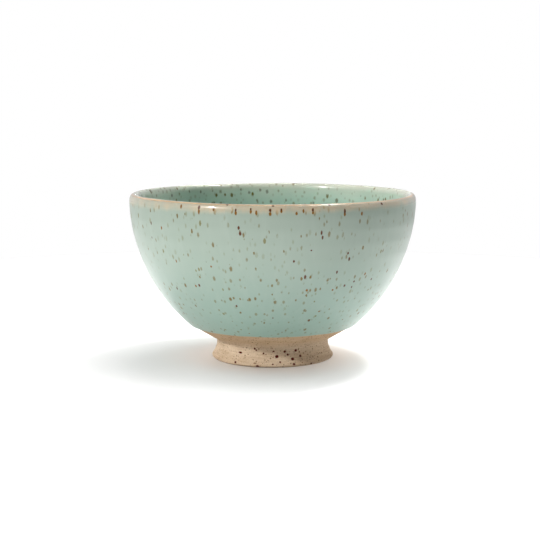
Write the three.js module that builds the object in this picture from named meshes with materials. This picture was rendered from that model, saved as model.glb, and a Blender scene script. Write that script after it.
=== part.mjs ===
// A thrown stoneware rice bowl with a flared foot ring, glazed inside and out. Millimetres, +Z up.
// The origin is the centre of the plane that the foot stands on.
import * as THREE from "three";

// Overall sizes of the finished bowl, glaze included.
const RIM_DIAMETER = 130; // widest place, where the wall stands upright below the lip
const HEIGHT = 75.6; // from the table to the crown of the lip

// Glaze coat, and the gap that separates neighbouring solids.
const GLAZE = 0.5;
const JOINT = 0.1;

// Clay thickness, measured across the wall, and the lip's tan band.
const LIP_CLAY = 3.2; // at the lip
const WALL_CLAY = 4.6; // low on the wall, where the inside turns into the floor
const FLOOR = 6; // of the floor, above the foot
const RIM_BAND = 3.1; // from the crown down to where the wall becomes upright

// Foot ring.
const NECK_DIAMETER = 51.6; // where the foot meets the underside of the bowl
const FOOT_DIAMETER = 56; // widest place of the flare
const FOOT_HEIGHT = 8.6;
const FOOT_WALL = 3.2; // thickness of the ring at the narrower of its neck and its foot
const FOOT_EDGE = 0.9; // radius of the two edges that meet the table
const FLARE_HOLLOW = 1.6; // how far the flare bows inwards
const RECESS_COVE = 2.2; // radius of the inner corner under the bowl

// Underside and wall.
const GLAZE_LINE_DIAMETER = 76.6; // the bare clay ends here and the outer glaze begins
const TURN_DIAMETER = 76.6; // the sloping underside turns up into the wall here
const UNDERSIDE_SLOPE = THREE.MathUtils.degToRad(31);
const RECESS_DOME = 0.8; // rise of the underside inside the foot, at its centre
const WALL_SLOPE = THREE.MathUtils.degToRad(40); // slope of the wall at its foot
const SHOULDER = 18; // pull of that slope on the wall's curve
const UPRIGHT = 22.2; // pull of the upright top of the wall on the same curve
const FLOOR_TURN = 0.36; // where along the wall's curve, from 0 to 1, the inside turns into the floor

const SEGMENTS = 48; // facets around the bowl

const clayRadius = RIM_DIAMETER / 2 - GLAZE - JOINT;
const innerRadius = clayRadius - LIP_CLAY;
const clayHeight = HEIGHT - GLAZE - JOINT;
const bandHeight = HEIGHT - RIM_BAND;
const neckRadius = NECK_DIAMETER / 2;
const footRadius = FOOT_DIAMETER / 2;
const footInnerRadius = Math.min(footRadius, neckRadius) - FOOT_WALL;
const recessRadius = footInnerRadius - RECESS_COVE;
const turnRadius = TURN_DIAMETER / 2;
const turnHeight = FOOT_HEIGHT + (turnRadius - neckRadius) * Math.tan(UNDERSIDE_SLOPE);
const floorHeight = FOOT_HEIGHT + FLOOR;

const at = (radius, height) => new THREE.Vector2(radius, height);

// The clay's outer face from the turn up to the band.
function wallCurve() {
  const start = at(turnRadius, turnHeight);
  const shoulder = at(Math.cos(WALL_SLOPE), Math.sin(WALL_SLOPE)).multiplyScalar(SHOULDER);
  const end = at(clayRadius, bandHeight - JOINT);
  return new THREE.CubicBezierCurve(
    start, start.clone().add(shoulder), at(clayRadius, end.y - UPRIGHT), end,
  );
}

// The clay's outer face from the neck up to the band.
const outerFace = () => [at(neckRadius, FOOT_HEIGHT), ...wallCurve().getPoints(9)];

// The part of the outer face that lies further out than the glaze line.
function glazedFace() {
  const face = outerFace();
  const radius = GLAZE_LINE_DIAMETER / 2;
  const first = face.findIndex((point) => point.x > radius);
  const [inner, outer] = [face[first - 1], face[first]];
  const edge = inner.clone().lerp(outer, (radius - inner.x) / (outer.x - inner.x));
  return [edge, ...face.slice(first)];
}

// The clay lip, half an ellipse from the outer face over the crown to the inner face.
function lip() {
  return new THREE.EllipseCurve(
    (clayRadius + innerRadius) / 2, bandHeight, LIP_CLAY / 2, clayHeight - bandHeight, 0, Math.PI,
  ).getPoints(8);
}

// The clay's inner face, from the band down to the centre of the floor: first the outer wall's own curve
// moved in by the thickness of the clay, then one curve that runs on smoothly and ends level.
function innerWall() {
  const wall = wallCurve();
  const points = [];
  const steps = 6;
  for (let step = 0; step <= steps; step++) {
    const place = 1 - (step / steps) * (1 - FLOOR_TURN);
    const along = wall.getTangent(place);
    const thickness = THREE.MathUtils.mapLinear(place, FLOOR_TURN, 1, WALL_CLAY, LIP_CLAY);
    points.push(wall.getPoint(place).add(at(-along.y, along.x).multiplyScalar(thickness)));
  }
  const turn = points.at(-1);
  const along = wall.getTangent(FLOOR_TURN);
  const corner = at(turn.x - ((turn.y - floorHeight) * along.x) / along.y, floorHeight);
  const floor = new THREE.QuadraticBezierCurve(turn, corner, at(0, floorHeight));
  return [...points, ...floor.getPoints(5).slice(1)];
}

// The same points moved by a distance to the right of the way they run, which is away from the clay.
function raised(points, distance) {
  return points.map((point, i) => {
    const before = points[Math.max(i - 1, 0)];
    const after = points[Math.min(i + 1, points.length - 1)];
    const along = after.clone().sub(before).normalize();
    const radius = point.x === 0 ? 0 : point.x + along.y * distance;
    return at(radius, point.y - along.x * distance);
  });
}

// The outline of a coat of glaze over a stretch of clay.
function coat(points) {
  const outline = [...raised(points, JOINT).reverse(), ...raised(points, JOINT + GLAZE)];
  return outline[0].x === 0 ? outline : [...outline, outline[0].clone()];
}

// The bowl's clay: domed underside inside the foot, level seat, underside, wall, lip and inside.
function clayOutline() {
  const domeHeight = FOOT_HEIGHT + RECESS_DOME;
  const dome = new THREE.QuadraticBezierCurve(
    at(0, domeHeight), at(recessRadius / 2, domeHeight), at(recessRadius, FOOT_HEIGHT),
  ).getPoints(4);
  return [...dome, ...outerFace(), ...lip(), ...innerWall()];
}

// The foot ring: standing face between two rounded edges, hollowed flare, top face and coved recess.
function footOutline() {
  const top = FOOT_HEIGHT - JOINT;
  const quarter = Math.PI / 2;
  const outline = new THREE.Path();
  outline.moveTo(footInnerRadius + FOOT_EDGE, 0);
  outline.lineTo(footRadius - FOOT_EDGE, 0);
  outline.absarc(footRadius - FOOT_EDGE, FOOT_EDGE, FOOT_EDGE, -quarter, 0);
  outline.quadraticCurveTo(
    (footRadius + neckRadius) / 2 - FLARE_HOLLOW, (FOOT_EDGE + top) / 2, neckRadius, top,
  );
  outline.lineTo(recessRadius, top);
  outline.absarc(recessRadius, top - RECESS_COVE, RECESS_COVE, quarter, 0, true);
  outline.lineTo(footInnerRadius, FOOT_EDGE);
  outline.absarc(footInnerRadius + FOOT_EDGE, FOOT_EDGE, FOOT_EDGE, 2 * quarter, 3 * quarter);
  return outline.getPoints(4);
}

// A closed outline turned about the bowl's axis, as one named mesh.
function turned(name, outline, material) {
  const geometry = new THREE.LatheGeometry(outline, SEGMENTS);
  geometry.rotateX(Math.PI / 2);
  const mesh = new THREE.Mesh(geometry, material);
  mesh.name = name;
  return mesh;
}

const finish = (color, roughness) => new THREE.MeshStandardMaterial({ color, roughness, metalness: 0 });

const bowl = new THREE.Group();
bowl.add(
  turned("foot_ring", footOutline(), finish(0xc4ab8b, 0.8)),
  turned("clay_bowl", clayOutline(), finish(0xbfa585, 0.8)),
  turned("outer_glaze", coat(glazedFace()), finish(0xb3c6b6, 0.22)),
  turned("inner_glaze", coat(innerWall()), finish(0x8aa897, 0.18)),
  turned("rim_glaze", coat(lip()), finish(0xc19a74, 0.25)),
);

export default bowl;
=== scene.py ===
"""Looks of a glazed stoneware rice bowl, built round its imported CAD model.

Lengths are in millimetres and become metres when a mesh, a light or the camera is made. Heights are
above the table, radii are from the bowl's axis, and angles run anticlockwise from +X seen from above,
so the camera looks at the bowl from -90 degrees.
"""

import math

import bpy
import numpy as np
from mathutils import Euler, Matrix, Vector


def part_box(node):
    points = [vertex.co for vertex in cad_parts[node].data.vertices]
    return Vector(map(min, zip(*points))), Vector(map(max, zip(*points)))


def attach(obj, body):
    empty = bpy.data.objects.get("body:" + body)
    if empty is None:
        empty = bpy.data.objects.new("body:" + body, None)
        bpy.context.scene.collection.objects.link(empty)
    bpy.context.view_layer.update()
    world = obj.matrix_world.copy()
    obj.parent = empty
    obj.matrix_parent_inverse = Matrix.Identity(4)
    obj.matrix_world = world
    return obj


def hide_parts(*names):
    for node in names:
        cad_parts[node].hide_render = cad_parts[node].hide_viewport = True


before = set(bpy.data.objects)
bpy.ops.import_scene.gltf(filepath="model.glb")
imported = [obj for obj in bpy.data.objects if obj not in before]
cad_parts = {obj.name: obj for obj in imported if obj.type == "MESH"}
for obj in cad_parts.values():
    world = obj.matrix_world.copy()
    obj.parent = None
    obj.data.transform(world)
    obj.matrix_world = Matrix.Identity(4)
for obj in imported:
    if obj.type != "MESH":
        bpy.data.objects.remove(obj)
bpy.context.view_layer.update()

MM = 0.001  # metres in a millimetre
BAKE_MAP = "OFBake"  # the UV map that the export bakes through


def reach(node):
    """A CAD node's largest radius, lowest height and highest height."""
    low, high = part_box(node)
    return high[0] / MM, low[2] / MM, high[2] / MM


# Sizes that the CAD nodes give.
CLAY_RADIUS, NECK_HEIGHT, CLAY_HEIGHT = reach("clay_bowl")
FOOT_RADIUS, _, FOOT_TOP = reach("foot_ring")
HEIGHT = reach("rim_glaze")[2]
COAT = HEIGHT - CLAY_HEIGHT  # from the clay to the glaze's surface
JOINT = NECK_HEIGHT - FOOT_TOP  # the gap that the CAD leaves between two solids
FLOOR_HEIGHT = reach("inner_glaze")[1] - JOINT

# Sizes of the clay's outline that no node's box shows, as the CAD source has them.
LIP_CLAY = 3.2  # thickness at the lip
WALL_CLAY = 4.6  # thickness low in the wall
RIM_BAND = 3.1  # how far the rim's glaze comes down
NECK_RADIUS = 25.8  # where the foot meets the bowl
FOOT_WALL = 3.2  # the foot ring's thickness at the neck
FOOT_EDGE = 0.9  # rounding of the standing edge
FLARE_HOLLOW = 1.6  # how far in the handle of the foot's curved side lies
RECESS_COVE = 2.2  # rounding inside the foot
RECESS_DOME = 0.8  # rise of the underside inside the foot
TURN_RADIUS = 38.3  # where the underside turns up into the wall
UNDERSIDE_SLOPE = math.radians(31)
WALL_SLOPE = math.radians(40)
SHOULDER = 18.0  # length of the wall curve's handle at the turn
UPRIGHT = 22.2  # length of its handle below the lip's band
FLOOR_TURN = 0.36  # how far up the wall's curve, from 0 to 1, the inside leaves it for the floor

BAND_HEIGHT = HEIGHT - RIM_BAND
CROWN_RADIUS = CLAY_RADIUS - LIP_CLAY / 2
RECESS_RADIUS = NECK_RADIUS - FOOT_WALL - RECESS_COVE
FLARE_WAIST = ((FOOT_RADIUS + NECK_RADIUS) / 2 - FLARE_HOLLOW, (FOOT_EDGE + FOOT_TOP) / 2)

COLUMNS = 384  # facets round the bowl
SECTORS = 4  # parts that a piece's UV map lays side by side, two to a row
BITE = 0.05  # how deep one piece is let into the next, so that no gap shows between them
ANGLES = np.arange(COLUMNS) * 2 * math.pi / COLUMNS
FRONT = -math.pi / 2  # the camera's side of the bowl
HIDDEN_ROW = 0.1  # share of the UV map's height for a row that nobody sees, where a seen one has 1


# ---------------------------------------------------------------------------------------------------
# Outlines
# ---------------------------------------------------------------------------------------------------


def bezier(steps, *handles):
    """Points along a Bezier curve of any degree."""
    place = np.linspace(0, 1, steps + 1)[:, None]
    curves = [np.array(handle, float) for handle in handles]
    while len(curves) > 1:
        curves = [a + (b - a) * place for a, b in zip(curves, curves[1:])]
    return curves[0]


def arc(steps, centre, radius, start, end):
    """Points along a circle, with its angles in degrees."""
    turn = np.radians(np.linspace(start, end, steps + 1))
    return np.array(centre) + radius * np.stack([np.cos(turn), np.sin(turn)], axis=1)


def joined(*runs):
    """Runs of points end to end, without the points that two runs share."""
    points = np.concatenate(runs)
    apart = np.hypot(*np.diff(points, axis=0).T) > 1e-6
    return points[np.append(True, apart)]


class Path:
    """An outline that can be read at any distance along it. Its right-hand side is away from the clay."""

    def __init__(self, points):
        self.points = points
        self.places = np.append(0, np.cumsum(np.hypot(*np.diff(points, axis=0).T)))
        along = np.gradient(points, self.places, axis=0)
        along /= np.linalg.norm(along, axis=1, keepdims=True)
        self.away = np.stack([along[:, 1], -along[:, 0]], axis=1)
        self.length = self.places[-1]

    def at(self, place, lift=0.0):
        """The points at some distances along the outline, lifted away from the clay."""
        place, lift = np.broadcast_arrays(place, lift)
        point = [np.interp(place, self.places, column) for column in self.points.T]
        away = [np.interp(place, self.places, column) for column in self.away.T]
        return np.stack(point, axis=-1) + lift[..., None] * np.stack(away, axis=-1)

    def place_of_radius(self, radius):
        """How far along the outline first reaches a radius."""
        widest = np.argmax(self.points[:, 0]) + 1
        return np.interp(radius, self.points[:widest, 0], self.places[:widest])


def clay_outer_face():
    """The underside from the neck to the turn, and the wall from there up to the lip's band."""
    turn_height = NECK_HEIGHT + (TURN_RADIUS - NECK_RADIUS) * math.tan(UNDERSIDE_SLOPE)
    neck = (NECK_RADIUS, NECK_HEIGHT)
    turn = (TURN_RADIUS, turn_height)
    shoulder = (
        TURN_RADIUS + SHOULDER * math.cos(WALL_SLOPE),
        turn_height + SHOULDER * math.sin(WALL_SLOPE),
    )
    upright = (CLAY_RADIUS, BAND_HEIGHT - UPRIGHT)
    top = (CLAY_RADIUS, BAND_HEIGHT)
    return bezier(60, neck, turn), bezier(240, turn, shoulder, upright, top)


def clay_lip():
    """The clay lip, a rounded arch from the outer face over the crown to the inner face."""
    turn = np.linspace(0, math.pi, 61)
    fullness = 0.86  # below 1 the arch is squarer than an ellipse
    across = np.sign(np.cos(turn)) * np.abs(np.cos(turn)) ** fullness
    radius = CROWN_RADIUS + LIP_CLAY / 2 * across
    height = BAND_HEIGHT + (CLAY_HEIGHT - BAND_HEIGHT) * np.sin(turn) ** fullness
    return np.stack([radius, height], axis=1)


def clay_inner_face(wall):
    """The inside: the wall moved in by the clay's thickness, and a curve that runs on to a level floor."""
    steps = len(wall) - 1
    first = round(FLOOR_TURN * steps)
    share = np.linspace(0, 1, steps - first + 1)
    thickness = WALL_CLAY + (LIP_CLAY - WALL_CLAY) * share
    path = Path(wall)
    side = wall[first:] - path.away[first:] * thickness[:, None]
    turn = side[0]
    slope = -path.away[first, 0] / path.away[first, 1]
    corner = (turn[0] - (turn[1] - FLOOR_HEIGHT) / slope, FLOOR_HEIGHT)
    return joined(side[::-1], bezier(120, turn, corner, (0, FLOOR_HEIGHT)))


def eased(points, rounds):
    """The same points with their corners eased by averaging each with its neighbours."""
    for _ in range(rounds):
        points = points.copy()
        points[1:-1] = (points[:-2] + 2 * points[1:-1] + points[2:]) / 4
    return points


UNDERSIDE, WALL = clay_outer_face()
SKIN = Path(eased(joined(UNDERSIDE, WALL, clay_lip(), clay_inner_face(WALL)), rounds=6))
BAND_OUT = SKIN.places[np.argmax(SKIN.points[:, 1] > BAND_HEIGHT)]
BAND_IN = SKIN.places[len(SKIN.points) - np.argmax(SKIN.points[::-1, 1] > BAND_HEIGHT)]


# ---------------------------------------------------------------------------------------------------
# Meshes
# ---------------------------------------------------------------------------------------------------


def hand_thrown(radius, height, angle):
    """The small wander of a bowl thrown by hand: a rim not quite round and not quite level."""
    rise = (height / HEIGHT) ** 2
    oval = 0.12 * np.cos(2 * angle + 0.6) + 0.06 * np.cos(3 * angle + 2.1)
    tilt = 0.12 * np.cos(2 * angle - 1.0) + 0.05 * np.cos(5 * angle)
    return radius * (1 + rise * oval / CLAY_RADIUS), height + rise * tilt


def turned_points(section, poles):
    """A section's points turned about the axis, and the number of the point at each row and column.

    A row at a pole has one point, which all its columns share.
    """
    radius, height = hand_thrown(section[..., 0], section[..., 1], ANGLES)
    grid = np.stack([radius * np.cos(ANGLES), radius * np.sin(ANGLES), height], axis=-1)
    points = []
    index = np.zeros(section.shape[:2], int)
    for row, pole in enumerate(poles):
        index[row] = len(points) + (0 if pole else np.arange(COLUMNS))
        points.extend(grid[row, :1] if pole else grid[row])
    return np.array(points), index


def band_of_faces(low, high, low_pole, high_pole):
    """The corners of the faces between two rows, and where each lies across its sector and upwards."""
    column = np.arange(COLUMNS)
    following = (column + 1) % COLUMNS
    width = COLUMNS // SECTORS
    start = column % width / width
    end = start + 1 / width
    ring = [(low, start, 0), (low[following], end, 0), (high[following], end, 1), (high, start, 1)]
    if low_pole:
        ring.pop(0)
    elif high_pole:
        ring.pop(2)
    corners = np.stack([numbers for numbers, _, _ in ring], axis=1)
    across = np.stack([places for _, places, _ in ring], axis=1)
    upper = np.array([side for _, _, side in ring])
    return corners, across, upper


def sector_places(across, level):
    """Places on the UV map, where the sectors lie side by side, two to a row, with a margin round each."""
    margin = 0.01
    sector = (np.arange(COLUMNS) // (COLUMNS // SECTORS))[:, None]
    u = (sector % 2 + margin + (1 - 2 * margin) * across) / 2
    v = (sector // 2 + margin + (1 - 2 * margin) * level) / 2
    return np.stack(np.broadcast_arrays(u, v), axis=-1).reshape(-1, 2)


def turned(name, section, stretch):
    """A piece made by turning its section about the axis.

    The section is a ring of points, or one that starts and ends on the axis, with the clay on the left.
    It may differ from column to column. `stretch` gives each row's share of the height of the UV map.
    """
    if section.ndim == 2:
        section = np.repeat(section[:, None], COLUMNS, axis=1)
    poles = section[:, 0, 0] < 1e-6
    points, index = turned_points(section, poles)
    pairs = [(row, row + 1) for row in range(len(section) - 1)]
    if not poles[0]:
        pairs.append((len(section) - 1, 0))
        stretch = np.append(stretch, stretch.min())
    level = np.append(0, np.cumsum(stretch)) / stretch.sum()

    faces = []
    places = []
    for (low, high), bottom, top in zip(pairs, level, level[1:]):
        corners, across, upper = band_of_faces(index[low], index[high], poles[low], poles[high])
        faces.extend(corners.tolist())
        places.append(sector_places(across, np.where(upper, top, bottom)))

    mesh = bpy.data.meshes.new(name)
    mesh.from_pydata(points * MM, [], faces)
    mesh.shade_smooth()
    mesh.set_sharp_from_angle(angle=math.radians(40))
    mesh.uv_layers.new(name=BAKE_MAP).uv.foreach_set("vector", np.concatenate(places).ravel())
    piece = bpy.data.objects.new(name, mesh)
    bpy.context.scene.collection.objects.link(piece)
    return piece


def glaze_line(angle):
    """How far below the turn, along the clay, the glaze's lower edge lies, as it ran in the kiln."""
    turn = angle - FRONT
    dip = 0.5 + 0.1 * np.sin(turn) + 0.12 * np.cos(2 * turn + 1.0)
    ripple = 0.10 * np.sin(9 * turn + 0.7) + 0.08 * np.sin(17 * turn + 2.0) + 0.05 * np.sin(31 * turn)
    return dip + ripple


def throwing_rings(place, angle):
    """The faint spiral that the potter's fingers leave under the glaze."""
    wander = 1.4 * np.sin(place / 11.0)
    return 0.03 * np.sin(place * 2 * math.pi / 7.5 + angle + wander)


def outer_coat():
    """The outer glaze, from a rounded edge with a slight roll up to the lip's band."""
    start = SKIN.place_of_radius(TURN_RADIUS) - glaze_line(ANGLES)
    fine = 0.06  # share of the coat, at its edge, that has closer rows
    share = np.append(np.linspace(0, fine, 26)[:-1], np.linspace(fine, 1, 130))
    distance = share[:, None] * (BAND_OUT - start)
    edge = 0.6  # width of the rounded edge
    rounded = np.sqrt(np.clip(1 - (1 - distance / edge).clip(0) ** 2, 0, 1))
    roll = 0.07 * np.exp(-(((distance - 1.0) / 0.7) ** 2))
    thickening = 28.0  # how far above the edge the coat has its full thickness
    growth = (distance / thickening).clip(0, 1)
    thickness = COAT * (0.5 + 0.5 * growth**2 * (3 - 2 * growth))
    smoothing = 0.1  # share of the coat, below the band, over which the rings die away
    fade = (1 - share[:, None]).clip(0, smoothing) / smoothing * growth
    lift = thickness * rounded + roll + throwing_rings(start + distance, ANGLES) * fade
    face = SKIN.at(start + distance, lift)
    back = SKIN.at((start + distance)[::8][::-1], -BITE)
    section = np.concatenate([back, face])
    stretch = np.append(np.full(len(back), HIDDEN_ROW), np.diff(share) * 100)
    return turned("outer_glaze_coat", section, stretch)


def inner_coat():
    """The inner glaze, from the lip's band down to the middle of the floor."""
    place = BAND_IN + np.linspace(0, 1, 150) * (SKIN.length - BAND_IN)
    smoothing = 8.0  # how far from the band and from the middle the rings have died away
    fade = np.minimum(place - BAND_IN, SKIN.length - place)[:, None].clip(0, smoothing) / smoothing
    lift = COAT + throwing_rings(place[:, None], ANGLES) * fade
    face = SKIN.at(place[:, None], lift)
    back = SKIN.at(place[::8][::-1], -BITE)
    face[-1, :, 0] = 0
    back = np.concatenate([[(0, FLOOR_HEIGHT - BITE)], back])
    section = np.concatenate([np.repeat(back[:, None], COLUMNS, axis=1), face])
    stretch = np.append(np.full(len(back), HIDDEN_ROW), np.ones(len(face) - 1))
    return turned("inner_glaze_coat", section, stretch)


def rim_coat():
    """The glaze over the lip, flush with the coats on both sides."""
    place = np.linspace(BAND_OUT, BAND_IN, 61)
    face = SKIN.at(place, COAT)
    back = SKIN.at(place[::4][::-1], -BITE)
    stretch = np.append(np.full(len(back), HIDDEN_ROW), np.ones(len(face) - 1))
    return turned("rim_glaze_coat", np.concatenate([back, face]), stretch)


def clay_body():
    """The bowl's clay. Only its underside and the dome inside the foot are left bare."""
    dome_height = NECK_HEIGHT + RECESS_DOME
    dome = bezier(
        30, (0, dome_height), (RECESS_RADIUS / 2, dome_height), (RECESS_RADIUS, NECK_HEIGHT)
    )
    past_turn = round(len(UNDERSIDE) * 1.2)  # the bare points of the skin, and a few under the glaze
    covered = SKIN.points[past_turn:-1:8]
    outline = np.concatenate([dome, SKIN.points[:past_turn], covered, [(0, FLOOR_HEIGHT)]])
    place = Path(outline).places
    lines = turning_lines(place[:, None], ANGLES, depth=0.03)
    bare = (np.arange(len(outline)) < len(dome) + past_turn)[:, None] & (outline[:, :1] > 1)
    section = np.repeat(outline[:, None], COLUMNS, axis=1)
    section[..., 1] += np.where(bare, lines, 0)
    steps = np.diff(place)
    hidden = 0.05  # how much of its true share of the UV map a covered row has
    return turned("clay_body", section, np.where(bare[1:, 0], steps, steps * hidden))


def turning_lines(place, angle, depth):
    """The fine ridges that a turning tool leaves on leather-hard clay."""
    slow = np.sin(place * 2 * math.pi / 2.9 + 0.4 * np.sin(angle + 1.0))
    fine = np.sin(place * 2 * math.pi / 0.83 + 0.9 * np.sin(2 * angle) + 1.7 * slow)
    return depth * (0.6 * slow + 0.4 * fine * (0.6 + 0.4 * np.sin(3 * angle + place)))


def foot():
    """The foot ring: a hollowed flare with turning lines, a worn standing edge and a coved recess."""
    inner = NECK_RADIUS - FOOT_WALL
    middle = (inner + FOOT_RADIUS) / 2
    fillet = 0.6  # of slip, where the foot was joined to the bowl
    seat = (
        NECK_RADIUS + fillet * math.cos(UNDERSIDE_SLOPE),
        NECK_HEIGHT + fillet * math.sin(UNDERSIDE_SLOPE),
    )
    flare = joined(
        bezier(3, (middle, 0), (FOOT_RADIUS - FOOT_EDGE, 0)),
        arc(8, (FOOT_RADIUS - FOOT_EDGE, FOOT_EDGE), FOOT_EDGE, -90, 0),
        bezier(90, (FOOT_RADIUS, FOOT_EDGE), FLARE_WAIST, (NECK_RADIUS, FOOT_TOP - fillet)),
        bezier(8, (NECK_RADIUS, FOOT_TOP - fillet), (NECK_RADIUS, NECK_HEIGHT), seat),
    )
    recess = joined(
        bezier(2, (NECK_RADIUS, NECK_HEIGHT + BITE), (RECESS_RADIUS, NECK_HEIGHT + BITE)),
        arc(10, (RECESS_RADIUS, NECK_HEIGHT - RECESS_COVE), RECESS_COVE, 90, 0),
        bezier(20, (inner, NECK_HEIGHT - RECESS_COVE), (inner, FOOT_EDGE)),
        arc(8, (inner + FOOT_EDGE, FOOT_EDGE), FOOT_EDGE, 180, 270),
    )
    outline = Path(joined(flare, recess))
    radius, height = outline.points.T
    plain_top = 0.2  # below the joint with the bowl, without turning lines
    shown = (radius > NECK_RADIUS - 1) & (height > FOOT_EDGE) & (height < FOOT_TOP - plain_top)
    place = outline.places[:, None]
    lines = np.where(shown[:, None], turning_lines(place, ANGLES, depth=0.06), 0)
    return turned("foot_ring_clay", outline.at(place, lines), np.diff(outline.places))


# ---------------------------------------------------------------------------------------------------
# Materials
# ---------------------------------------------------------------------------------------------------


def srgb(red, green, blue):
    """A colour given as it looks on a screen, 0 to 255, turned into light."""
    parts = np.array([red, green, blue]) / 255
    light = np.where(parts <= 0.04045, parts / 12.92, ((parts + 0.055) / 1.055) ** 2.4)
    return (*light.tolist(), 1.0)


class Field:
    """A number that varies over a surface. Arithmetic on it adds nodes to its material."""

    def __init__(self, shader, socket):
        self.shader = shader
        self.socket = socket

    def __add__(self, other):
        return self.shader.maths("ADD", self, other)

    def __sub__(self, other):
        return self.shader.maths("SUBTRACT", self, other)

    def __rsub__(self, other):
        return self.shader.maths("SUBTRACT", other, self)

    def __mul__(self, other):
        return self.shader.maths("MULTIPLY", self, other)

    def __truediv__(self, other):
        return self.shader.maths("DIVIDE", self, other)

    def most(self, other):
        """The larger of two."""
        return self.shader.maths("MAXIMUM", self, other)

    def smooth(self, start, end):
        """0 at start and before it, 1 at end and after it, and a smooth step between."""
        node = self.shader.add(
            "ShaderNodeMapRange", {"Value": self, "From Min": start, "From Max": end},
            interpolation_type="SMOOTHSTEP",
        )
        return Field(self.shader, node.outputs["Result"])


class Shader:
    """A material being put together, with the textures and mixes that the recipes use."""

    def __init__(self, name):
        self.material = bpy.data.materials.new(name)
        self.material.use_nodes = True
        self.nodes = self.material.node_tree.nodes
        self.links = self.material.node_tree.links
        self.nodes.clear()
        metres = self.add("ShaderNodeTexCoord", {}).outputs["Object"]
        self.point = self.vector_maths("MULTIPLY", metres, (1 / MM,) * 3)
        parts = self.add("ShaderNodeSeparateXYZ", {0: self.point}).outputs
        self.x, self.y, self.z = (Field(self, part) for part in parts)

    def add(self, kind, inputs, **settings):
        """A node with its settings, and its inputs linked or set."""
        node = self.nodes.new(kind)
        for key, value in settings.items():
            setattr(node, key, value)
        for key, value in inputs.items():
            if isinstance(value, Field):
                value = value.socket
            if isinstance(value, bpy.types.NodeSocket):
                self.links.new(value, node.inputs[key])
            else:
                node.inputs[key].default_value = value
        return node

    def maths(self, operation, *values):
        """Arithmetic on numbers and fields."""
        node = self.add("ShaderNodeMath", dict(enumerate(values)), operation=operation)
        return Field(self, node.outputs["Value"])

    def vector_maths(self, operation, *values):
        """Arithmetic on coordinates."""
        node = self.add("ShaderNodeVectorMath", dict(enumerate(values)), operation=operation)
        return node.outputs["Vector"]

    def radius(self):
        """The distance from the bowl's axis."""
        return self.maths("SQRT", self.x * self.x + self.y * self.y)

    def stretched(self, across, upright):
        """Coordinates whose unit is `across` millimetres sideways and `upright` millimetres up."""
        return self.vector_maths("MULTIPLY", self.point, (1 / across, 1 / across, 1 / upright))

    def shifted(self, vector, amount):
        """The same coordinates moved, so that two textures don't repeat each other."""
        return self.vector_maths("ADD", vector, (amount, 1.7 * amount, 0.6 * amount))

    def noise(self, vector, detail=2.0, roughness=0.5):
        """Smooth noise from about -1 to 1."""
        node = self.add(
            "ShaderNodeTexNoise",
            {"Vector": vector, "Scale": 1.0, "Detail": detail, "Roughness": roughness},
        )
        return (Field(self, node.outputs["Fac"]) - 0.5) * 2.6

    def cells(self, vector):
        """Scattered points: the distance to the nearest, and three numbers of its own from 0 to 1."""
        node = self.add("ShaderNodeTexVoronoi", {"Vector": vector, "Scale": 1.0, "Randomness": 1.0})
        own = self.add("ShaderNodeSeparateColor", {0: node.outputs["Color"]}).outputs
        return Field(self, node.outputs["Distance"]), [Field(self, part) for part in own]

    def mix(self, share, first, second):
        """The first colour where share is 0 and the second where it is 1."""
        node = self.add("ShaderNodeMix", {0: share, 6: first, 7: second}, data_type="RGBA")
        return node.outputs[2]

    def ramp(self, field, low, high, *colours):
        """Colours spaced evenly along a field, the first at low and the last at high."""
        share = self.add("ShaderNodeMapRange", {"Value": field, "From Min": low, "From Max": high})
        node = self.add("ShaderNodeValToRGB", {0: share.outputs["Result"]})
        elements = node.color_ramp.elements
        for _ in colours[2:]:
            elements.new(0.5)
        for i, colour in enumerate(colours):
            elements[i].position = i / (len(colours) - 1)
            elements[i].color = colour
        return node.outputs["Color"]

    def finish(self, colour, roughness, height, constants):
        """The surface itself. `height` is its fine relief in millimetres."""
        bump = self.add("ShaderNodeBump", {"Strength": 1.0, "Distance": MM, "Height": height})
        varied = {"Base Color": colour, "Roughness": roughness, "Normal": bump.outputs["Normal"]}
        skin = self.add("ShaderNodeBsdfPrincipled", {**constants, **varied})
        self.add("ShaderNodeOutputMaterial", {"Surface": skin.outputs["BSDF"]})
        return self.material


TAN = srgb(206, 160, 106)
BEIGE = srgb(218, 194, 160)
# The next colour is a shaded copy of the beige: painted shade for the lip's band on the bowl's right side.
BEIGE_PAINTED_SHADE = srgb(210, 192, 162)
OLIVE = srgb(116, 108, 34)
GOLD = srgb(130, 86, 8)
BRONZE = srgb(112, 90, 18)
RUST = srgb(88, 42, 0)
PEAT = srgb(66, 62, 28)

# The photograph's most visible marks on the outer face. Each is its angle to the right of the front in
# degrees, its height, and half its width and half its length in millimetres.
RUST_DRIPS = (
    (-28, 74.0, 0.55, 0.9),
    (-17, 75.3, 0.6, 0.35),
    (-22, 73.9, 0.45, 0.5),
    (-13.5, 73.4, 0.4, 0.7),
    (-12.5, 66.0, 0.45, 0.8),
    (-12, 63.6, 0.55, 0.8),
    (-8, 73.9, 0.35, 0.7),
    (-1, 73.4, 0.5, 0.8),
    (0, 75.1, 0.6, 0.35),
    (3, 73.6, 0.4, 0.6),
    (13, 45.0, 0.5, 1.1),
    (14.5, 73.4, 0.45, 0.8),
    (18, 63.8, 0.4, 0.9),
    (18.5, 61.8, 0.4, 0.8),
    (-33, 40.0, 0.45, 0.8),
    (-48, 37.0, 0.4, 1.0),
    (-17, 31.5, 0.4, 0.7),
    (0, 26.0, 0.35, 0.35),
    (8, 52.0, 0.4, 0.6),
    (14.5, 56.5, 0.35, 0.35),
    (26.5, 46.5, 0.4, 0.8),
    (30, 54.5, 0.4, 0.6),
    (31, 52.0, 0.45, 0.9),
    (32, 40.0, 0.4, 0.8),
    (36.5, 41.5, 0.4, 0.5),
    (47, 41.5, 0.4, 0.6),
    (21, 75.1, 0.6, 0.35),
    (27, 72.4, 0.45, 1.0),
    (45, 74.4, 0.6, 0.6),
)
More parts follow.
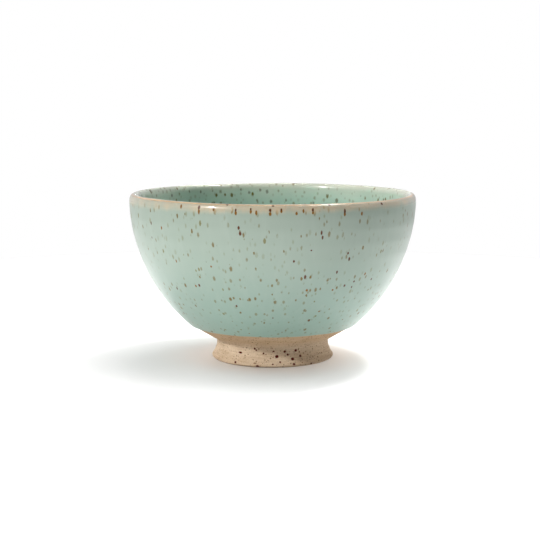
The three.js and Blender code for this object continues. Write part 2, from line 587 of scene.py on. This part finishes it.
GOLD_DRIPS = (
    (-47, 64.0, 0.4, 0.8),
    (-42, 50.0, 0.35, 0.9),
    (-35, 39.5, 0.4, 0.7),
    (-25, 49.0, 0.4, 0.5),
    (-14.5, 17.5, 0.45, 0.35),
    (5.5, 18.5, 0.4, 0.35),
    (14.5, 39.0, 0.45, 0.7),
    (23, 28.5, 0.35, 0.6),
    (26.5, 38.5, 0.4, 0.5),
    (41.5, 44.5, 0.4, 0.8),
    (-36, 74.0, 0.45, 1.0),
    (-28, 72.2, 0.5, 1.1),
    (-22, 73.3, 0.45, 0.7),
    (-13.5, 72.1, 0.5, 0.9),
    (-8, 72.8, 0.45, 0.9),
    (-6, 72.3, 0.45, 1.0),
    (-1, 71.9, 0.55, 0.8),
    (3, 72.9, 0.4, 0.7),
    (8.5, 72.0, 0.45, 0.7),
    (11, 73.0, 0.4, 0.9),
    (14.5, 72.2, 0.4, 0.6),
    (27, 71.2, 0.45, 0.8),
    (34.5, 71.0, 0.45, 0.8),
)
# The iron spots on the foot: angle to the right of the front, height, half width and half length.
IRON_SPOTS = (
    (-37, 1.3, 0.57, 0.46),
    (-34, 5.6, 0.86, 0.46),
    (-18, 8.0, 0.4, 0.46),
    (-16.5, 7.3, 0.34, 0.34),
    (-14, 0.6, 0.69, 0.46),
    (-9, 6.0, 0.4, 0.4),
    (0, 1.5, 0.4, 0.34),
    (1, 7.0, 0.46, 0.34),
    (4, 4.7, 0.75, 0.69),
    (7, 2.4, 0.4, 0.4),
    (12, 6.8, 0.57, 0.57),
    (15, 5.4, 0.46, 0.46),
    (19.5, 3.4, 0.75, 0.63),
    (20, 1.3, 0.63, 0.46),
    (23.5, 7.0, 0.63, 0.57),
    (28, 4.4, 0.57, 0.57),
    (38, 0.7, 0.52, 0.4),
)

# The outlines that the marks lie on, as points in the order of their heights.
MARKED_BAND = 3.4  # how far along the lip's band a mark may lie
WALL_FACE = SKIN.at(np.linspace(0, BAND_OUT + MARKED_BAND, 240), COAT)
WALL_FACE = WALL_FACE[np.argsort(WALL_FACE[:, 1])]
FOOT_FACE = bezier(60, (FOOT_RADIUS, FOOT_EDGE), FLARE_WAIST, (NECK_RADIUS, FOOT_TOP))


def marks(shader, outline, spots):
    """The listed marks on a turned surface with this outline: 1 in a mark and 0 away from it."""
    found = 0.0
    ragged = shader.noise(shader.stretched(0.5, 0.7), detail=1.0) * 0.2 + 1.0
    for turn, height, half_width, half_length in spots:
        radius = np.interp(height, outline[:, 1], outline[:, 0])
        angle = FRONT + math.radians(turn)
        centre = (radius * math.cos(angle), radius * math.sin(angle), height)
        offset = shader.vector_maths("SUBTRACT", shader.point, centre)
        scale = (1 / half_width, 1 / half_width, 1 / half_length)
        scaled = shader.vector_maths("MULTIPLY", offset, scale)
        length = shader.add("ShaderNodeVectorMath", {0: scaled}, operation="LENGTH")
        away = Field(shader, length.outputs["Value"])
        found = (ragged * away).smooth(1.35, 0.75).most(found)
    return found


def specks(shader, cell, tall, share, radii, seed, blur=0.35):
    """Specks scattered over the surface, at most one to a cell of so many millimetres.

    `tall` is how many times as high as wide they are, `share` is the part of the cells that have one,
    and `radii` their smallest and largest half width. Gives 1 in a speck, and a number of its own.
    """
    where = shader.shifted(shader.stretched(cell, cell * tall), seed)
    distance, (chance, girth, own) = shader.cells(where)
    small, large = radii
    ragged = shader.noise(shader.shifted(shader.stretched(0.5, 0.9), seed), detail=1.0) * 0.3 + 1.0
    edge = ragged * (girth * girth * (large - small) + small) / cell - distance
    softness = blur * small / cell
    present = shader.maths("LESS_THAN", chance, share)
    return edge.smooth(-softness, softness) * present, own


def outer_look(shader):
    """Pale celadon, deeper and cooler towards the foot, with runs and olive and rust specks."""
    runs = shader.noise(shader.stretched(3.5, 40.0), detail=3.0)
    clouds = shader.noise(shader.stretched(22.0, 30.0), detail=2.0)
    place = shader.z + clouds * 4 + runs * 3
    tones = srgb(144, 174, 161), srgb(149, 172, 160), srgb(155, 173, 160), srgb(163, 178, 166)
    colour = shader.ramp(place, 14, 74, *tones)
    colour = shader.mix(runs.smooth(-0.2, 1.6) * 0.25, colour, srgb(186, 202, 192))
    faint, tint = specks(shader, 2.2, 2.2, 1.0, (0.35, 0.65), 3.1, blur=0.7)
    olive = shader.mix(tint.smooth(0.5, 0.9), OLIVE, BRONZE)
    colour = shader.mix(faint * (tint * tint * 0.7 + 0.25), colour, olive)
    strong, tint = specks(shader, 3.2, 2.1, 0.65, (0.35, 0.62), 8.7, blur=0.35)
    dark = shader.mix(tint.smooth(0.85, 0.95), shader.mix(tint.smooth(0.2, 0.6), OLIVE, BRONZE), RUST)
    colour = shader.mix(strong * (tint * 0.3 + 0.7), colour, dark)
    return colour, strong


def inner_look(shader):
    """Deeper teal celadon pooling towards the floor, dark blurred specks, and a paler top: thin glaze and
    painted light.
    """
    clouds = shader.noise(shader.stretched(14.0, 14.0), detail=3.0)
    place = shader.z + clouds * 2.5
    tones = srgb(124, 178, 160), srgb(126, 181, 164), srgb(128, 184, 167), srgb(136, 188, 172)
    # The palest, last tone is partly the glaze thinning at the lip and partly painted light that brightens
    # the upper inner wall.
    colour = shader.ramp(place, 12, 76, *tones, srgb(226, 234, 218))
    faint, tint = specks(shader, 2.4, 1.3, 0.95, (0.4, 0.8), 1.3, blur=0.9)
    colour = shader.mix(faint * (tint * 0.5 + 0.2), colour, OLIVE)
    dark, tint = specks(shader, 3.4, 1.5, 0.9, (0.45, 0.9), 5.3, blur=0.6)
    colour = shader.mix(dark * (tint * 0.4 + 0.6), colour, shader.mix(tint, PEAT, OLIVE))
    return colour, dark


def over_the_lip(shader):
    """0 on the outer side of the lip's crown and 1 on its inner side."""
    middle = CROWN_RADIUS + 0.3
    half_width = 0.6
    return (shader.radius() - middle).smooth(half_width, -half_width)


def rim_look(shader):
    """The outer look up to the lip's crown and the inner look from there."""
    inward = over_the_lip(shader)
    outer, outer_specks = outer_look(shader)
    inner, inner_specks = inner_look(shader)
    return shader.mix(inward, outer, inner), outer_specks.most(inner_specks * inward)


def broken_at_the_lip(shader, colour):
    """The colour broken to patchy beige as the glaze thins near the lip, and to a tan line along it.

    Gives the new colour, and the band where the glaze is thin.
    """
    inward = over_the_lip(shader)
    depth = HEIGHT - shader.z
    scallops = shader.noise(shader.stretched(5.5, 60.0), detail=2.0)
    ragged = shader.noise(shader.stretched(0.7, 4.0), detail=2.0)
    side = shader.x / CLAY_RADIUS
    reach_down = 2.9 - side * 0.5 + scallops * 0.5 + ragged * 0.7 - inward * 0.8
    band = (depth - reach_down).smooth(1.6, -1.4)
    # Painted shade: the band's beige turns to its shaded copy towards the bowl's right side, away from the
    # key light.
    beige = shader.mix(side.smooth(-0.4, 0.9), BEIGE, BEIGE_PAINTED_SHADE)
    patchy = (scallops * 0.3 + side.smooth(-1.0, -0.2) * 0.3 + 0.32) * (1.0 - inward * 0.7)
    colour = shader.mix(band * patchy, colour, beige)
    line = (depth + ragged * 0.15).smooth(0.7, 0.2) * (1.0 - inward)
    return shader.mix(line * 0.8, colour, TAN), band


def glaze(name, look, gloss):
    """The glaze: one of the looks above, broken at the lip, with the listed drips and a wavy gloss."""
    shader = Shader(name)
    colour, spots = look(shader)
    colour, band = broken_at_the_lip(shader, colour)
    colour = shader.mix(marks(shader, WALL_FACE, GOLD_DRIPS), colour, GOLD)
    colour = shader.mix(marks(shader, WALL_FACE, RUST_DRIPS), colour, RUST)
    peel = shader.noise(shader.stretched(0.9, 1.2), detail=1.0)
    waves = shader.noise(shader.stretched(9.0, 22.0), detail=1.0)
    height = peel * 0.002 + waves * 0.012 - spots * 0.006
    roughness = waves * 0.02 + band * 0.05 + spots * 0.06 + 0.3
    constants = {"IOR": 1.48, "Coat Weight": gloss, "Coat Roughness": 0.06}
    return shader.finish(colour, roughness, height, constants)


def clay(name, spots=()):
    """Bare sandy stoneware with turning lines, grog and iron spots. The listed spots are the foot's."""
    shader = Shader(name)
    lines = shader.noise(shader.stretched(9.0, 0.4), detail=3.0, roughness=0.6)
    sand = shader.noise(shader.stretched(0.45, 0.35), detail=3.0, roughness=0.7)
    clouds = shader.noise(shader.stretched(9.0, 4.0), detail=2.0)
    tone = lines * 0.9 + clouds * 0.6 + sand * 0.9
    colour = shader.ramp(tone, -1.4, 1.4, srgb(166, 138, 108), srgb(212, 190, 163), srgb(238, 222, 200))
    # The clay turns darker and warmer from the top of the foot up over the underside.
    darker_warmer_upwards = (shader.z + clouds * 0.6 + lines * 0.5).smooth(8.0, 12.5)
    colour = shader.mix(darker_warmer_upwards * 0.6, colour, srgb(186, 152, 112))
    colour = shader.mix(sand.smooth(0.5, 1.4) * 0.5, colour, srgb(240, 226, 204))
    small, tint = specks(shader, 1.1, 1.0, 0.8, (0.2, 0.42), 2.2, blur=0.7)
    colour = shader.mix(small * (tint * 0.5 + 0.35), colour, srgb(108, 66, 36))
    iron, _ = specks(shader, 3.0, 1.0, 0.45, (0.25, 0.5), 6.4)
    colour = shader.mix(iron * 0.8, colour, srgb(92, 34, 10))
    if spots:
        listed = marks(shader, FOOT_FACE, spots)
        colour = shader.mix(listed, colour, srgb(84, 14, 2))
        iron = iron.most(listed)
    height = lines * 0.05 + sand * 0.03 + iron * 0.02
    roughness = sand * 0.05 + lines * 0.03 - iron * 0.1 + 0.82
    return shader.finish(colour, roughness, height, {"IOR": 1.45, "Specular IOR Level": 0.25})


def floor_paint():
    """Matt white paper, a little greyer away from the bowl, so that it lights the wall from below less."""
    shader = Shader("floor_paper")
    fibres = shader.noise(shader.stretched(30.0, 30.0), detail=3.0)
    near = shader.ramp(fibres, -1, 1, srgb(244, 243, 243), srgb(246, 245, 245))
    white_to, grey_from = 130, 260  # distances from the bowl's axis
    colour = shader.mix(shader.radius().smooth(white_to, grey_from), near, srgb(200, 200, 200))
    return shader.finish(colour, fibres * 0.02 + 0.9, fibres * 0.01, {"Specular IOR Level": 0.1})


# ---------------------------------------------------------------------------------------------------
# The bowl
# ---------------------------------------------------------------------------------------------------


def dressed(piece, material, node):
    """Gives a piece its material, hangs it on the root body, and hides the CAD node that it stands for."""
    piece.data.materials.append(material)
    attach(piece, "root")
    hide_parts(node)
    return piece


bowl = (
    dressed(foot(), clay("foot_stoneware", IRON_SPOTS), "foot_ring"),
    dressed(clay_body(), clay("body_stoneware"), "clay_bowl"),
    dressed(outer_coat(), glaze("outer_celadon", outer_look, 0.16), "outer_glaze"),
    dressed(inner_coat(), glaze("inner_celadon", inner_look, 0.6), "inner_glaze"),
    dressed(rim_coat(), glaze("rim_celadon", rim_look, 0.85), "rim_glaze"),
)


# ---------------------------------------------------------------------------------------------------
# Studio
# ---------------------------------------------------------------------------------------------------


def floor(radius):
    """A round sheet of white paper, wide enough for the whole shadow."""
    turns = np.linspace(0, 2 * math.pi, 96, endpoint=False)
    edge = np.column_stack([radius * np.cos(turns), radius * np.sin(turns), 0 * turns])
    mesh = bpy.data.meshes.new("floor")
    mesh.from_pydata(edge * MM, [], [tuple(range(len(turns)))])
    mesh.materials.append(floor_paint())
    piece = bpy.data.objects.new("floor", mesh)
    bpy.context.scene.collection.objects.link(piece)
    return piece


def sun(name, angle, elevation, strength, spread, colour=(1.0, 1.0, 1.0)):
    """A soft light from far away, at an angle round the bowl and an elevation, in degrees."""
    lamp = bpy.data.lights.new(name, "SUN")
    lamp.energy = strength
    lamp.angle = math.radians(spread)
    lamp.color = colour
    light = bpy.data.objects.new(name, lamp)
    turn = math.radians(angle)
    lift = math.radians(elevation)
    source = Vector((math.cos(turn) * math.cos(lift), math.sin(turn) * math.cos(lift), math.sin(lift)))
    light.rotation_euler = source.to_track_quat("Z", "Y").to_euler()
    bpy.context.scene.collection.objects.link(light)
    return light


def white_world(fill, swing, bright_side):
    """A light tent: full white to the camera, and a fill light that is brighter on one side."""
    world = bpy.data.worlds.new("light_tent")
    bpy.context.scene.world = world
    world.use_nodes = True
    nodes = world.node_tree.nodes
    links = world.node_tree.links
    towards = nodes.new("ShaderNodeVectorMath")
    towards.operation = "DOT_PRODUCT"
    links.new(nodes.new("ShaderNodeTexCoord").outputs["Generated"], towards.inputs[0])
    towards.inputs[1].default_value = Vector(bright_side).normalized()
    level = nodes.new("ShaderNodeMapRange")
    links.new(towards.outputs["Value"], level.inputs["Value"])
    ends = {"From Min": -1, "From Max": 1, "To Min": fill - swing, "To Max": fill + swing}
    for name, value in ends.items():
        level.inputs[name].default_value = value
    strength = nodes.new("ShaderNodeMix")
    links.new(nodes.new("ShaderNodeLightPath").outputs["Is Camera Ray"], strength.inputs[0])
    links.new(level.outputs["Result"], strength.inputs[2])
    strength.inputs[3].default_value = 1.0
    links.new(strength.outputs[0], nodes["Background"].inputs["Strength"])
    nodes["Background"].inputs["Color"].default_value = (1.0, 1.0, 1.0, 1.0)


def only_on(light, *pieces):
    """Lets a light reach these pieces only. Everything still casts shadows in it."""
    group = bpy.data.collections.new(light.name + "_reaches")
    for piece in pieces:
        group.objects.link(piece)
    light.light_linking.receiver_collection = group


def camera(place, tilt, focal_length):
    """A camera that looks at the bowl's front, tilted down by so many degrees."""
    lens = bpy.data.cameras.new("camera")
    lens.sensor_width = 36.0
    lens.lens = focal_length
    taker = bpy.data.objects.new("camera", lens)
    taker.location = Vector(place) * MM
    taker.rotation_euler = Euler((math.radians(90 - tilt), 0, 0))
    bpy.context.scene.collection.objects.link(taker)
    bpy.context.scene.camera = taker


# Lights that whiten the paper round the bowl's shadow: name, angle, elevation and strength.
PAPER_LIGHTS = (
    ("paper_over", 42, 66, 2.0),
    ("paper_right", -15, 32, 1.4),
    ("paper_left", 145, 28, 2.0),
    ("paper_front", -90, 36, 0.2),
)

paper = floor(radius=390)
white_world(fill=0.37, swing=0.36, bright_side=(-0.2, 0.95, 0.25))
key = sun("key", angle=-142, elevation=31, strength=1.85, spread=7, colour=(1.0, 0.98, 0.95))
only_on(key, *bowl)
sun("top", angle=42, elevation=64, strength=1.3, spread=8)
for name, angle, elevation, strength in PAPER_LIGHTS:
    only_on(sun(name, angle, elevation, strength, spread=50), paper)
camera(place=(-1.2, -560.0, 118.65), tilt=8.01, focal_length=81.8)  # fitted to the bowl's outline
bpy.context.scene.view_settings.view_transform = "Standard"
